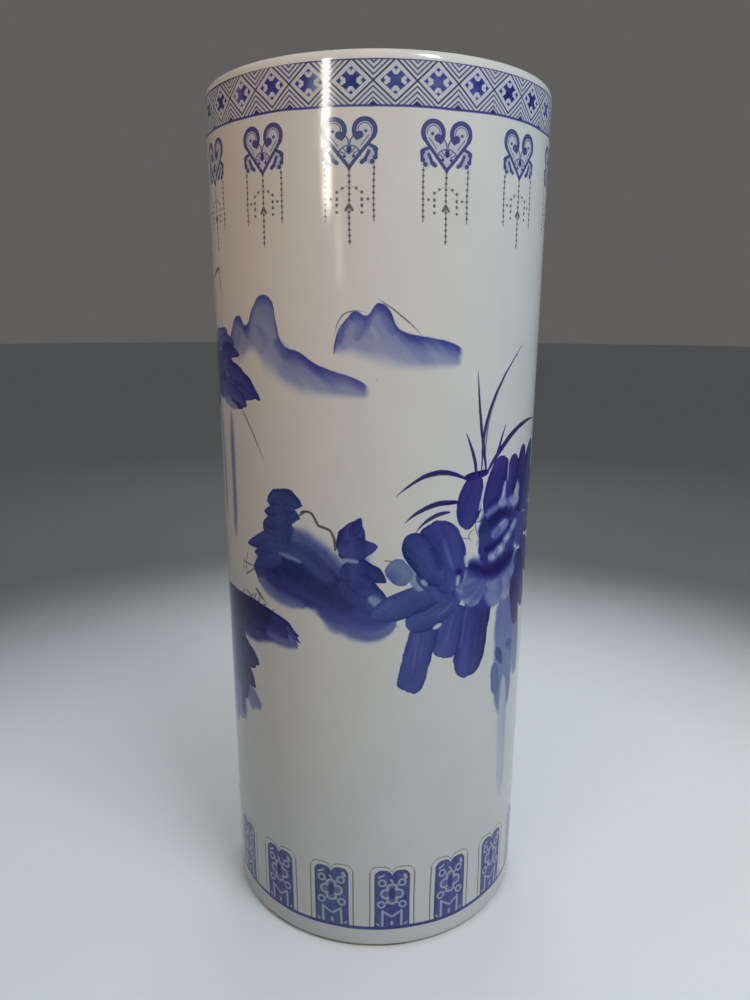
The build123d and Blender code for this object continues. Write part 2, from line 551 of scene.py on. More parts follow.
PEONY = (
    wash(109, 272, 113, 168, 15, 0.50, soft=2.4),
    wash(112, 200, 116, 98, 6.5, 0.25, soft=2.5, fade=0.5),
    leaf(97, 215, 101, 189, 5.0, 0.56),
    sharp_leaf(99, 227, 108, 211, 3.6, 0.76),
    wash(113, 226, 127, 219, 3.2, 0.70, soft=2.2),
    wash(126, 262, 135, 192, 8.0, 0.52, soft=3.0),
    leaf(79, 277, 67, 213.5, 14, 0.78, belly=0.85, blunt=6.0),
    leaf(57, 270, 47.5, 232, 10, 0.68, blunt=8.0),
    leaf(35, 262, 22.5, 209, 10.4, 0.68, blunt=7.0),
    leaf(60, 277, 20, 257, 10, 0.67, blunt=4.0),
    leaf(46, 284, -2, 266, 9.8, 0.68),
    wash(60, 297, 76, 267, 11, 0.42, soft=2.4),
    wash(84, 286, 98, 262, 10, 0.45, soft=3.0),
    wash(101, 290, 111, 262, 9.0, 0.36, soft=3.0),
    wash(118, 298, 124, 266, 8.0, 0.50, soft=3.0),
    wash(31, 283, 22, 302, 5.0, 0.40, soft=1.5),
    leaf(21.5, 289.5, 8.5, 304, 8.0, 0.50),
    wash(15, 291.5, 9, 298, 2.2, 0.60, soft=2.6),
    leaf(30, 303, 52, 273, 9.5, 0.70),
    leaf(54, 279, 38, 330.5, 17, 0.72, belly=1.15, blunt=2.6),
    leaf(47, 286, 20, 322, 10.4, 0.76, belly=1.2),
    wash(29, 252, 24.5, 222, 1.2, 0.61, soft=2.4),
    wash(33, 250, 30, 232, 0.8, 0.63, soft=1.8),
    wash(55, 264, 49, 240, 1.6, 0.62, soft=2.6),
    wash(42, 262, 54, 272, 0.8, 0.60, soft=1.6),
    wash(80, 262, 75, 228, 1.6, 0.84, soft=2.6),
    wash(66, 268, 62, 236, 1.4, 0.62, soft=2.0),
    wash(46, 318, 54, 296, 2.0, 0.58, soft=2.6),
    wash(36, 312, 44, 296, 2.2, 0.82, soft=3.2),
    wash(116, 326, 136, 300, 12, 0.70, soft=3.0),
    leaf(130, 300, 172, 270, 11, 0.78),
    leaf(132, 316, 178, 311, 10.5, 0.76),
    leaf(130, 326, 170, 350, 11, 0.78),
    leaf(119, 280, 129, 236, 7.5, 0.90),
    leaf(123, 294, 148, 246, 11, 0.86),
    leaf(124, 324, 150, 374, 11, 0.86),
    leaf(119, 326, 127, 373, 8.5, 0.90),
    leaf(70, 359.5, 62, 323, 10.6, 0.78, blunt=2.2, belly=1.0),
    wash(92, 342, 122, 342, 8.0, 0.30, soft=3.0),
    leaf(97, 369, 82, 330, 10.2, 0.82, belly=0.86),
    leaf(112, 368.5, 106, 337, 8.4, 0.82),
    wash(62, 283, 88, 280, 9.5, 0.58, soft=4.5),
    wash(84, 279, 121, 284, 10.5, 0.46, soft=5.0),
    wash(74, 286, 56, 282, 2.0, 0.52, soft=2.0),
    wash(74, 281, 58, 273, 2.2, 0.58, soft=2.2),
    wash(79, 281, 68, 266.5, 2.2, 0.54, soft=2.4),
    wash(98, 281, 101, 266, 2.2, 0.52, soft=2.6),
    wash(109, 283, 115, 268, 2.0, 0.50, soft=2.6),
    wash(74, 312, 120, 316, 25, 0.78, soft=6.0),
    wash(65, 298, 84, 289, 5.0, 0.88, soft=5.0),
    wash(79, 289, 118, 297, 5.6, 0.97, soft=5.0, bend=-4),
    wash(80, 330, 94, 334, 3.6, 0.46, soft=3.4),
    wash(93, 337, 104, 334, 4.4, 0.34, soft=3.4),
    wash(103, 334, 122, 335, 5.4, 0.36, soft=4.0),
    wash(100, 351, 97, 338, 1.8, 0.22, soft=1.8),
    wash(114, 343, 120, 337, 2.6, 0.26, soft=2.4),
    wash(83, 325, 112, 329, 4.0, 0.90, soft=4.4),
    wash(103, 338, 107, 331, 1.2, 0.56, soft=2.4),
    wash(87, 313.5, 107, 321.5, 4.6, 0.42, soft=3.8),
    wash(90, 313, 98, 317, 1.0, 0.62, soft=2.2),
    wash(95, 320, 103, 323, 1.2, 0.26, soft=2.0),
    wash(81, 305, 113, 319, 3.0, 0.97, soft=3.4, bend=-5),
    wash(84.5, 299, 95, 298.5, 3.4, 0.34, soft=2.8),
    wash(92, 300, 104, 304.5, 3.6, 0.26, soft=2.8),
    wash(101, 306, 112, 312.5, 3.6, 0.28, soft=2.8),
    wash(110, 313, 120, 319.5, 3.2, 0.32, soft=2.8),
    wash(93, 297, 95, 303, 0.8, 0.54, soft=1.8),
    wash(101.5, 302, 103, 308, 0.8, 0.54, soft=1.8),
    wash(110, 309, 111.5, 315, 0.8, 0.54, soft=1.8),
    wash(89, 298, 91, 299, 1.0, 0.14, soft=1.6),
    wash(97.5, 301.5, 99.5, 303, 1.0, 0.12, soft=1.6),
    wash(106, 308, 108, 309.5, 1.0, 0.14, soft=1.6),
    leaf(59, 357.5, 81, 360, 2.6, 0.94),
    wash(79.5, 357, 73.5, 334, 1.1, 0.08, soft=1.0),
    wash(103, 366, 102.5, 350, 0.8, 0.26, soft=1.2),
    wash(39.5, 254.5, 45.5, 257.4, 1.5, 0.10, soft=0.9),
    wash(58, 291.5, 57.4, 283.5, 1.2, 0.16, soft=1.5),
    wash(63.4, 305, 65, 296, 1.4, 0.12, soft=1.6),
    wash(30.5, 291, 34.6, 286.6, 1.7, 0.34, soft=1.2),
    wash(56, 292.5, 61, 295, 2.0, 0.88, soft=1.6),
    blade(79, 358, 68, 428, 1.2, 0.86, bend=1.0),
    blade(74, 357, 115, 443.5, 1.1, 0.84, bend=13.5),
    blade(78, 358, 152, 389, 2.0, 0.84, bend=12.5),
    blade(64, 355, 12.5, 347.5, 1.6, 0.86, bend=-11.5),
    blade(70, 357, 60, 388, 1.3, 0.84, bend=-1.6),
    blade(57, 341.5, 18, 330, 1.8, 0.86, bend=-5.5),
    blade(50, 336, 26, 323.5, 1.3, 0.80, bend=-3.6),
    blade(86, 362, 98, 391, 1.3, 0.86, bend=1.0),
)
SCENE_STROKES = HILL_FACETS + LEFT_LEAVES + ROCK + LOW_ROCK + PEONY

# Fine lines in grey ink: outlines of the hills, the branch, twigs, stems and tendrils
INK_STROKES = (
    blade(-27, 449, -5.5, 463.5, 0.50, 0.80, bend=7.5, belly=1.0),
    blade(0.5, 472, 28, 450.2, 0.50, 0.80, bend=1.4, belly=1.0),
    blade(-104, 400, -81.5, 365, 0.7, 0.80, bend=1.5),
    line(-59, 328.5, -48.5, 335.5, 0.7, 0.85),
    line(-52, 334.5, -43, 335.6, 0.85, 0.90, bend=1.2),
    line(-44, 336.2, -39, 327.6, 0.95, 0.90),
    line(-40, 328, -30, 324.6, 0.95, 0.90),
    line(-31, 325, -27.5, 311, 1.0, 0.90, bend=1.4),
    line(-95, 289, -111, 289.6, 0.55, 0.80),
    line(-97, 287, -108, 280.4, 0.6, 0.80),
    line(-107, 279, -104.5, 298, 0.55, 0.70, bend=1.0),
    line(-112, 283, -109, 292, 0.5, 0.60),
    blade(-96, 273, -84, 264.5, 1.2, 0.80),
    blade(-93, 270, -88, 266.5, 1.0, 0.80),
    blade(-108, 268.5, -99, 263, 0.9, 0.70),
    blade(-104, 263.5, -97, 268.5, 0.8, 0.66),
    blade(-99, 263, -94, 270.5, 0.7, 0.72),
    blade(-93, 262.5, -90, 269.5, 0.8, 0.70),
    blade(-88, 261.5, -83, 264.5, 0.9, 0.72),
    blade(-115, 265, -110, 269.5, 0.8, 0.60),
    blade(-79, 259.5, -76, 262.5, 0.7, 0.60),
    line(-147, 487.5, -131.5, 493, 1.1, 0.92, bend=1.6),
    line(-132, 493.2, -130.5, 478, 0.8, 0.78, bend=-0.8),
    line(-130.5, 478, -131.5, 452, 0.45, 0.46),
    line(5, 305.5, 10, 305, 0.45, 0.70),
    blade(77.4, 368, 68, 428, 1.1, 0.68, bend=0.8),
    blade(77, 368, 115, 443.5, 1.0, 0.74, bend=11.5),
    blade(96, 378, 152, 389, 1.6, 0.62, bend=5.5),
    blade(50, 361, 12.5, 347.5, 1.2, 0.62, bend=-6.0),
    blade(68, 366, 60, 388, 1.1, 0.66, bend=-1.0),
    blade(46, 342, 18, 330, 1.4, 0.56, bend=-3.0),
    blade(46, 335, 26, 323.5, 1.1, 0.62, bend=-2.6),
    line(78.5, 335.6, 74, 327.4, 0.42, 0.80, bend=-2.4),
    line(77.4, 326.4, 70, 326, 0.42, 0.80, bend=-0.8),
    line(70.4, 326.6, 75, 315, 0.42, 0.80, bend=-1.0),
    line(69.6, 322, 68, 313.5, 0.45, 0.80, bend=-3.6),
    line(60.6, 316.6, 65.4, 316, 0.42, 0.75),
)

# Hills: their upper edge, their lower edge, and the tones that the wash runs between
Hill = namedtuple("Hill", "name top foot dark pale")
HILLS = (
    Hill(
        "Far Hill",
        (
            (-121, 436), (-114, 452), (-103, 461.5), (-96, 455.5), (-88, 466), (-77, 474),
            (-70, 470), (-67, 456), (-61, 442), (-52, 440), (-40, 433.5), (-28, 428.5),
            (-14, 424.5), (-8, 421), (-4, 417),
        ),
        (
            (-121, 433), (-104, 432), (-90, 438), (-80, 429), (-65, 419), (-50, 413.5),
            (-30, 412), (-4, 411),
        ),
        0.64,
        0.31,
    ),
    Hill(
        "Near Hill",
        (
            (-28, 440), (-24, 453), (-18, 461), (-13, 464.5), (-7, 462), (1.5, 469.5),
            (8, 465.5), (12, 456), (17, 452.5), (30, 449.5), (45, 446.5), (51, 444.5), (57, 441),
        ),
        (
            (-28, 438), (-18, 438), (-8, 435), (5, 431.5), (25, 429), (45, 430), (57, 431),
        ),
        0.68,
        0.29,
    ),
)


def stroke_span(stroke):
    """Least and greatest place of a stroke around the wall."""
    spare = stroke.half + stroke.soft + abs(stroke.bend)
    ends = (stroke.root[0], stroke.tip[0])
    return min(ends) - spare, max(ends) + spare


def hill_span(hill):
    """Least and greatest place of a hill around the wall."""
    return hill.top[0][0], hill.top[-1][0]


def chosen_hairs(hairs, stroke, turn=0):
    """The streaks whose course is nearest to a stroke's own, or is some courses on from it."""
    angle = math.atan2(stroke.tip[1] - stroke.root[1], stroke.tip[0] - stroke.root[0])
    course = (round(angle / math.pi * len(hairs)) + turn) % len(hairs)
    sets = hairs[course]
    return sets[(int(stroke.half * 10.0) + turn) % len(sets)]


def brushed(under, place, hairs, stroke, group, shift):
    """Lay one stroke over what is painted under it."""
    run_x = stroke.tip[0] - stroke.root[0]
    run_z = stroke.tip[1] - stroke.root[1]
    length = math.hypot(run_x, run_z)
    values = {
        "Under": under,
        "Place": place,
        "Root": (stroke.root[0] + shift, stroke.root[1], 0.0),
        "Run": (run_x / length**2, run_z / length**2, 0.0),
        "Across": (-run_z / length, run_x / length, 0.0),
        "Hairs": chosen_hairs(hairs, stroke),
        "Cross Hairs": chosen_hairs(hairs, stroke, len(hairs) // 2),
    }
    for name in STROKE_NUMBERS:
        values[name.title()] = getattr(stroke, name)
    return placed(place.tree, group, **values)["Pigment"]


def edge_curve(value, points, low, high):
    """A height that follows given points as the value goes from the first to the last."""
    first = points[0][0]
    last = points[-1][0]
    share = (value - first) / (last - first)
    curved = added(value.tree, "ShaderNodeFloatCurve", {"Value": share})
    mapping = curved.socket.node.mapping
    knots = mapping.curves[0].points
    while len(knots) < len(points):
        knots.new(0.5, 0.5)
    for knot, (x, z) in zip(knots, points):
        knot.location = ((x - first) / (last - first), (z - low) / (high - low))
        knot.handle_type = "AUTO_CLAMPED"
    mapping.update()
    return curved * (high - low) + low


def hill_group(hill):
    """A hill in one wash, dark along its upper edge and faded at its foot."""
    inputs = {label: "Float" for label in ("Under", "Along", "Height", "Hairs")}
    _, given, end = node_group(hill.name, inputs, {"Pigment": "Float"})
    margin = 1.0
    edge_depth = 10.0
    edge_drift = 16.0
    edge_share = 0.55
    body_share = 0.45
    drift_share = 0.20
    start_fade = 1.5
    end_fade = 5.0
    heights = [z for _, z in hill.top + hill.foot]
    low = min(heights) - margin
    high = max(heights) + margin
    first, last = hill_span(hill)
    along = given["Along"]
    top = edge_curve(along, hill.top, low, high)
    foot = edge_curve(along, hill.foot, low, high)
    depth = top - given["Height"]
    fall = (depth / (top - foot).most(2.0)).most(0.0)
    drift = given["Hairs"]
    edge = depth.ramp(0.0, drift * edge_drift + edge_depth, edge_share, 0.0) * (drift * 1.2 + 1.0)
    body = (1.0 - fall.least(1.0)) * body_share
    tone = (edge + body) * (hill.dark - hill.pale) + drift * drift_share + hill.pale
    tone = tone.most(0.0)
    cover = (depth * -1.0).within(0.6) * fall.ramp(1.12, 0.72)
    cover = cover * along.ramp(first, first + start_fade) * along.ramp(last, last - end_fade)
    return give(end, Pigment=given["Under"].mixed(tone, cover))


def rounded_line(place, start, finish, half):
    """Signed distance to a line with round ends."""
    run = Vector(finish) - Vector(start)
    origin = (*start, 0.0)
    share = place.vector("SUBTRACT", origin).vector("DOT_PRODUCT", (*(run / run.length_squared), 0.0))
    share = share.most(0.0).least(1.0)
    foot = joined(share * run.x + start[0], share * run.y + start[1])
    return place.vector("DISTANCE", foot) - half


def spot(place, centre, radius):
    """Signed distance to a round spot."""
    return place.vector("DISTANCE", (*centre, 0.0)) - radius


def ring(place, centre, radius, half):
    """Signed distance to a ring."""
    return abs(spot(place, centre, radius)) - half


def union(distances):
    """Signed distance to the nearest of several shapes."""
    nearest = distances[0]
    for distance in distances[1:]:
        nearest = nearest.least(distance)
    return nearest


def drawn(place, lines=(), spots=(), rings=()):
    """Signed distance to the nearest of some lines, spots and rings."""
    distances = [rounded_line(place, *line) for line in lines]
    distances += [spot(place, *dot) for dot in spots]
    distances += [ring(place, *hoop) for hoop in rings]
    return union(distances)


def band_group(count):
    """Rim band: a lattice of diamonds with a starred lozenge in each and chevrons between."""
    given, end = border_group("Rim Band")
    first_centre = 9.6
    middle = 593.2
    top_edge = 604.2
    low_edge = 579.8
    edge_half = 0.7
    lattice_half = 11.3
    line_half = 0.46
    star_x, star_z = 8.7, 7.5
    chevron_gap = 2.2
    chevron_half = 0.42
    corner_from = 7.8
    ground_tone = 0.10
    half_cell = GIRTH / count / 2.0
    slope = half_cell * lattice_half / math.hypot(half_cell, lattice_half)
    star_slope = star_x * star_z / math.hypot(star_x, star_z)
    x = abs((given["Around"] - first_centre).folded(half_cell * 2.0))
    z = abs(given["Height"] - middle)
    past_lattice = (x / half_cell + z / lattice_half - 1.0) * slope
    star = (x / star_x + z / star_z - 1.0) * star_slope
    notches = drawn(
        joined(x, z),
        spots=(
            ((1.25, 4.9), 1.05),
            ((0.5, 3.9), 0.95),
            ((5.3, 1.2), 1.1),
            ((4.1, 0.5), 1.0),
        ),
    )
    star = star.most(notches * -1.0).within(0.35)
    chevrons = abs(past_lattice.folded(chevron_gap)) - chevron_half
    chevrons = chevrons.most(1.0 - past_lattice).within(0.3)
    lattice = (abs(past_lattice) - line_half).within(0.3)
    corner = (corner_from - past_lattice).within(0.35)
    edges = union([abs(given["Height"] - edge) - edge_half for edge in (top_edge, low_edge)])
    wander = noise(joined(given["Around"] * 0.05, given["Height"] * 0.05), 1.0) - 0.5
    band = (given["Height"] - low_edge).ramp(-0.4, 0.4)
    pigment = (chevrons * 0.58).most(lattice * 0.70).most(corner * 0.80)
    pigment = pigment.most(star * (wander * 1.1 + 0.72)).most(ground_tone) * band
    pigment = pigment.most(edges.within(0.4) * 0.66)
    ink = (lattice * 0.76).most(chevrons * 0.55).most(corner * 0.3) * band
    return give(end, Pigment=pigment, Ink=ink)


def heart_group(count):
    """Heart-shaped cloud heads with volutes, a palmette and strings of beads hanging below."""
    given, end = border_group("Cloud Hearts")
    first_centre = 41.0
    tip = 546.2
    lobe = (8.8, 20.2, 0.0)
    scroll_radius = 6.1
    scroll_half = 1.2
    scroll_gap = 0.72
    hair = 0.3
    fan_height = 6.2
    fan_stretch = 1.15
    fan_spokes = 7.0
    bead_gap = 3.3
    outer_string = 14.3
    x = (given["Around"] - first_centre).folded(GIRTH / count)
    side = abs(x)
    z = given["Height"] - tip
    place = joined(side, z)

    from_lobe = place.vector("SUBTRACT", lobe)
    open_down = from_lobe.vector("DOT_PRODUCT", (0.14, -0.99, 0.0))
    radius = from_lobe.vector("LENGTH")
    gap = open_down - radius * scroll_gap
    scroll = (abs(radius - scroll_radius) - scroll_half).most(gap)
    cloud = drawn(
        place,
        lines=(
            ((13.6, 16.2), (0.2, 0.3), 0.85),
            ((5.0, 17.1), (6.0, 17.5), 2.0),
            ((11.8, 11.8), (14.4, 10.8), 0.8),
            ((15.4, 8.6), (15.2, 5.0), 0.8),
            ((11.2, 8.4), (9.2, 4.4), 0.8),
            ((9.2, 4.0), (7.2, 2.6), 1.0),
        ),
        spots=(
            ((9.4, 19.6), 0.8),
            ((15.0, 9.6), 1.45),
            ((14.8, 5.2), 1.3),
            ((13.2, 2.8), 1.25),
        ),
    )
    tinted = drawn(place, lines=(((12.6, 9.0), (12.2, 4.6), 3.4), ((9.6, 5.0), (7.4, 3.0), 1.6)))
    fan_rise = z - fan_height
    fan_place = joined(side, fan_rise * fan_stretch)
    fan_angle = fan_rise.math("ARCTAN2", side)
    reach = fan_place.vector("LENGTH")
    spokes = abs(fan_angle.folded(math.pi / fan_spokes)) * reach - 0.36
    spokes = spokes.most(abs(reach - 4.4) - 1.9).most(6.4 - z)
    curls = drawn(
        place,
        lines=(
            ((11.2, 17.2), (6.6, 11.6), hair),
            ((0.4, 12.6), (0.6, 14.6), 0.4),
            ((0.6, 14.6), (2.6, 17.6), 0.4),
        ),
    )
    inner_scroll = (abs(radius - 3.9) - hair).most(gap + 1.2)
    fan_edge = ring(fan_place, (0.0, 0.0), 6.5, 0.4).most(6.0 - z)
    thin = union([inner_scroll, curls, fan_edge, spokes]).within(0.35)
    kernel = joined(side / 1.5, (z - 9.4) / 2.4).vector("LENGTH") - 1.0
    petals = kernel.least(spot(place, (2.6, 6.0), 0.9))

    beads = joined(side, (z + 1.0).folded(bead_gap))
    from_string = side - outer_string
    outer_beads = joined(from_string, (z + 0.4).folded(bead_gap))
    middle_string = (side - 0.38).least(spot(beads, (0.0, 0.0), 0.9))
    side_string = (abs(from_string) - 0.36).least(spot(outer_beads, (0.0, 0.0), 0.85))
    pendants = drawn(
        place,
        lines=(
            ((0.2, -20.4), (1.9, -23.0), 0.85),
            ((7.4, -16.8), (7.4, -17.4), 0.8),
            ((7.4, -20.2), (7.4, -20.8), 0.8),
        ),
        spots=(
            ((4.2, -11.0), 0.85),
            ((7.4, -13.2), 0.9),
            ((11.0, -17.0), 0.85),
            ((7.4, -24.4), 0.85),
        ),
    )
    string = union([
        middle_string.most(abs(z + 20.8) - 21.6),
        side_string.most(abs(z + 14.2) - 15.4),
        pendants,
    ])
    faint = rounded_line(place, (1.0, -9.4), (8.0, -14.4), 0.2)
    inner = (radius - 5.6).least(rounded_line(place, (5.0, 14.0), (0.0, 5.0), 4.0))
    thick = scroll.least(cloud)
    head = thick.within(0.4)
    head_edge = (abs(thick + 0.2) - 0.3).within(0.35)
    pigment = (head * 0.60).most(head_edge * 0.82).most(thin * 0.55)
    pigment = pigment.most(petals.within(0.4) * 0.78)
    pigment = pigment.most(tinted.within(1.2) * 0.22).most(inner.within(1.0) * 0.13)
    strings = (string.within(0.4) * 0.88).most(faint.within(0.3) * 0.5)
    return give(end, Pigment=pigment, Ink=strings.most(thin * 0.4).most(head * 0.30))


def lappet_group(count):
    """Upright panels with two round shoulders, a flower and scrolls left white, and a base line."""
    given, end = border_group("Lappets")
    first_centre = 13.2
    half = 13.4
    shoulder = half / 2.0
    panel_foot = 16.6
    panel_top = 67.4
    base_line = 17.6
    outline_gap = 3.5
    outline_top = 70.4
    arch_half = (half + outline_gap) / 2.0
    x = (given["Around"] - first_centre).folded(GIRTH / count)
    side = abs(x)
    z = given["Height"]
    place = joined(side, z)
    crown = panel_top - abs((side.least(half) - shoulder) / shoulder) ** 3.4 * 4.0
    panel = (side - half).most(z - crown).most(panel_foot - z)
    arch = outline_top - abs((side - arch_half) / arch_half) ** 4.0 * 4.6
    outline = abs((side - half - outline_gap).most(z - arch)) - 0.5
    flower = drawn(
        place,
        spots=(
            ((0.0, 52.4), 3.5),
            ((4.7, 47.6), 3.6),
            ((0.0, 42.8), 3.7),
            ((0.0, 47.6), 4.6),
        ),
    )
    kernel = joined(side / 2.3, (z - 47.8) / 4.9).vector("LENGTH") - 1.0
    scrolls = drawn(
        place,
        lines=(
            ((5.4, 55.8), (3.2, 54.4), 0.65),
            ((5.8, 39.0), (3.2, 40.4), 0.6),
            ((7.3, 18.6), (7.3, 32.6), 0.95),
            ((7.3, 32.4), (0.0, 27.4), 0.75),
            ((0.0, 20.7), (0.0, 22.7), 1.0),
            ((10.2, 20.2), (11.4, 21.4), 0.7),
        ),
        rings=(
            ((7.6, 57.0), 2.5, 0.75),
            ((8.1, 38.2), 2.5, 0.75),
        ),
    )
    flecks = drawn(
        joined(x, z),
        lines=(
            ((9.6, 63.0), (10.4, 60.8), 1.3),
            ((-10.0, 61.6), (-6.6, 63.4), 0.85),
            ((-1.0, 59.6), (0.4, 57.6), 0.8),
        ),
    )
    white = union([abs(flower) - 0.85, scrolls, flecks]).within(0.5)
    streak = noise(joined(given["Around"] * 0.3, z * 0.06), 1.0) - 0.5
    inside = panel.within(0.4)
    pigment = inside * (streak * 0.28 + 0.62)
    pigment = pigment.mixed(0.50, flower.within(0.5)).mixed(0.76, kernel.within(0.12))
    pigment = pigment.mixed(0.16, white * inside)
    pigment = pigment.most((abs(z - base_line) - 1.35).within(0.5) * (streak * 0.3 + 0.68))
    rim = (abs(panel + 0.3) - 0.5).within(0.4) * 0.36 + inside * 0.16
    faded = z.ramp(17.0, 19.0) * z.ramp(76.0, 62.0, 0.52, 0.80)
    return give(end, Pigment=pigment, Ink=rim.most(outline.within(0.45) * faded))


def glaze_group(paint):
    """Cobalt under clear glaze: its colour, the gloss of the glaze and its faint ripple."""
    tree, given, end = node_group(
        "Cobalt Under Glaze",
        {"Object": "Vector", "Pigment": "Float", "Ink": "Float"},
        {"Color": "Color", "Roughness": "Float", "Ripple": "Float"},
    )
    grain_scale = 900.0
    grain_depth = 0.16
    cloud_scale = 26.0
    cloud_depth = 0.22
    hue_scale = 9.0
    hues = (0.482, 0.512)
    speck_scale = 42.0
    speck_least = 0.028
    speck_spread = 0.05
    speck_soft = 0.008
    speck_strength = 0.5
    gloss_roughness = 0.11
    ripple_scale = 70.0
    fine_ripple_scale = 320.0
    fine_ripple = 0.16
    stops = (
        (0.0, paint.glaze),
        (0.24, paint.cobalt_pale),
        (0.46, paint.cobalt_light),
        (0.66, paint.cobalt_mid),
        (0.86, paint.cobalt_deep),
        (1.0, paint.cobalt_dark),
    )
    place = given["Object"]
    grain = noise(place, grain_scale, 2.0) - 0.5
    cloud = noise(place, cloud_scale, 3.0) - 0.5
    pigment = given["Pigment"] * (grain * grain_depth + cloud * cloud_depth + 1.0)
    cobalt = added(tree, "ShaderNodeValToRGB", {"Fac": pigment.most(0.0).least(1.0)})
    knots = cobalt.socket.node.color_ramp.elements
    while len(knots) < len(stops):
        knots.new(0.5)
    for knot, (position, colour) in zip(knots, stops):
        knot.position = position
        knot.color = (*colour, 1.0)
    hue = noise(place, hue_scale, 1.0).ramp(0.3, 0.7, *hues)
    values = {"Color": cobalt, "Hue": hue, "Value": cloud * 0.10 + 1.0}
    tinted = added(tree, "ShaderNodeHueSaturation", values)
    values = {"Scale": speck_scale, "Vector": place}
    from_speck = added(tree, "ShaderNodeTexVoronoi", values, "Distance")
    chosen = parts(Field(tree, from_speck.socket.node.outputs["Color"]))[0]
    speck = (from_speck - chosen * speck_spread + speck_least).within(speck_soft)
    inked = blended(tree, given["Ink"], tinted, paint.ink)
    return give(
        end,
        Color=blended(tree, speck * speck_strength, inked, paint.speck),
        Roughness=cloud * 0.08 + grain * 0.03 + gloss_roughness,
        Ripple=noise(place, ripple_scale, 1.0) + noise(place, fine_ripple_scale, 1.0) * fine_ripple,
    )


def clay_group(paint):
    """Unglazed clay: its grain, its stains and its tooth."""
    tree, given, end = node_group(
        "Bare Clay",
        {"Object": "Vector"},
        {"Color": "Color", "Roughness": "Float", "Tooth": "Float"},
    )
    grit_scale = 1400.0
    stain_scale = 34.0
    place = given["Object"]
    grit = noise(place, grit_scale, 3.0)
    stain = noise(place, stain_scale, 4.0).ramp(0.42, 0.66)
    colour = blended(tree, stain * 0.7 + grit * 0.3, paint.clay, paint.clay_stain)
    return give(end, Color=colour, Roughness=stain * 0.12 + 0.74, Tooth=grit)


def shared_group(name, build, *values):
    """A node group that is built once and then found by its name."""
    found = bpy.data.node_groups.get(name)
    return found if found else build(*values)


def new_material(name):
    """A material with a Principled shader, and the Object coordinates in its tree."""
    material = bpy.data.materials.new(name)
    material.use_nodes = True
    tree = material.node_tree
    tree.nodes.clear()
    output = tree.nodes.new("ShaderNodeOutputMaterial")
    shader = tree.nodes.new("ShaderNodeBsdfPrincipled")
    tree.links.new(shader.outputs[0], output.inputs["Surface"])
    coordinates = tree.nodes.new("ShaderNodeTexCoord")
    return material, tree, shader, Field(tree, coordinates.outputs["Object"])


def rippled(tree, shader, height, distance):
    """Feed a height to the shader's normal through a Bump node."""
    bump = added(tree, "ShaderNodeBump", {"Distance": distance, "Height": height})
    feed(tree, shader.inputs["Normal"], bump)


def glazed_material(name, paint, painted=None):
    """Glossy clear glaze, over painting where a function is given for it."""
    material, tree, shader, place = new_material(name)
    values = {"Object": place}
    if painted:
        group = shared_group("Unrolled Wall", unrolled_group)
        wall = placed(tree, group, Object=place)
        values.update(painted(tree, {"Object": place, **wall}))
    glaze = placed(tree, shared_group("Cobalt Under Glaze", glaze_group, paint), **values)
    feed(tree, shader.inputs["Base Color"], glaze["Color"])
    feed(tree, shader.inputs["Roughness"], glaze["Roughness"])
    feed(tree, shader.inputs["IOR"], GLAZE_IOR)
    rippled(tree, shader, glaze["Ripple"], RIPPLE_DEPTH)
    return material


def clay_material(name, paint, glazed_above=None):
    """Bare clay, with glaze above a height where one is given."""
    material, tree, shader, place = new_material(name)
    clay = placed(tree, shared_group("Bare Clay", clay_group, paint), Object=place)
    colour = clay["Color"]
    roughness = clay["Roughness"]
    height = clay["Tooth"]
    if glazed_above is not None:
        edge = 0.0008
        ripple_share = 0.4
        group = shared_group("Cobalt Under Glaze", glaze_group, paint)
        glaze = placed(tree, group, Object=place)
        share = parts(place)[2].ramp(glazed_above - edge, glazed_above + edge)
        colour = blended(tree, share, colour, glaze["Color"])
        roughness = roughness.mixed(glaze["Roughness"], share)
        height = height.mixed(glaze["Ripple"] * ripple_share, share)
    feed(tree, shader.inputs["Base Color"], colour)
    feed(tree, shader.inputs["Roughness"], roughness)
    rippled(tree, shader, height, TOOTH_DEPTH)
    return material


def border_material(name, paint, group_name, build, count):
    """Glaze over one of the borders that repeat round the wall."""

    def painted(tree, wall):
        group = shared_group(group_name, build, count)
        return placed(tree, group, Around=wall["Around"], Height=wall["Height"])

    return glazed_material(name, paint, painted)


def scene_material(name, paint, start, finish):
    """Glaze over the part of the garden scene that lies between two places around the wall."""

    def painted(tree, wall):
        group = shared_group("Brush Hairs", hairs_group)
        courses = placed(tree, group, Object=wall["Object"])
        hairs = []
        for course in HAIR_COURSES:
            hairs.append([hair - 0.5 for hair in parts(courses[course], "ShaderNodeSeparateColor")])
        level, upright, falling = [hairs[HAIR_COURSES.index(name)][0] for name in TREMBLES]
        along = level * BRUSH_TREMBLE + wall["Around"].folded(SCENE_WIDTH)
        height = upright * BRUSH_TREMBLE + wall["Height"]
        place = joined(along, height)
        pigment = along * 0.0
        for hill in HILLS:
            low, high = hill_span(hill)
            if high > start and low < finish:
                group = shared_group(hill.name, hill_group, hill)
                values = {"Under": pigment, "Along": along, "Height": height}
                pigment = placed(tree, group, **values, Hairs=falling)["Pigment"]
        group = shared_group("Brush Stroke", stroke_group)

        def laid(under, strokes):
            for stroke in strokes:
                low, high = stroke_span(stroke)
                for shift in (-SCENE_WIDTH, 0.0, SCENE_WIDTH):
                    if high + shift >= start and low + shift <= finish:
                        under = brushed(under, place, hairs, stroke, group, shift)
            return under

        return {"Pigment": laid(pigment, SCENE_STROKES), "Ink": laid(0.0, INK_STROKES)}

    return glazed_material(name, paint, painted)


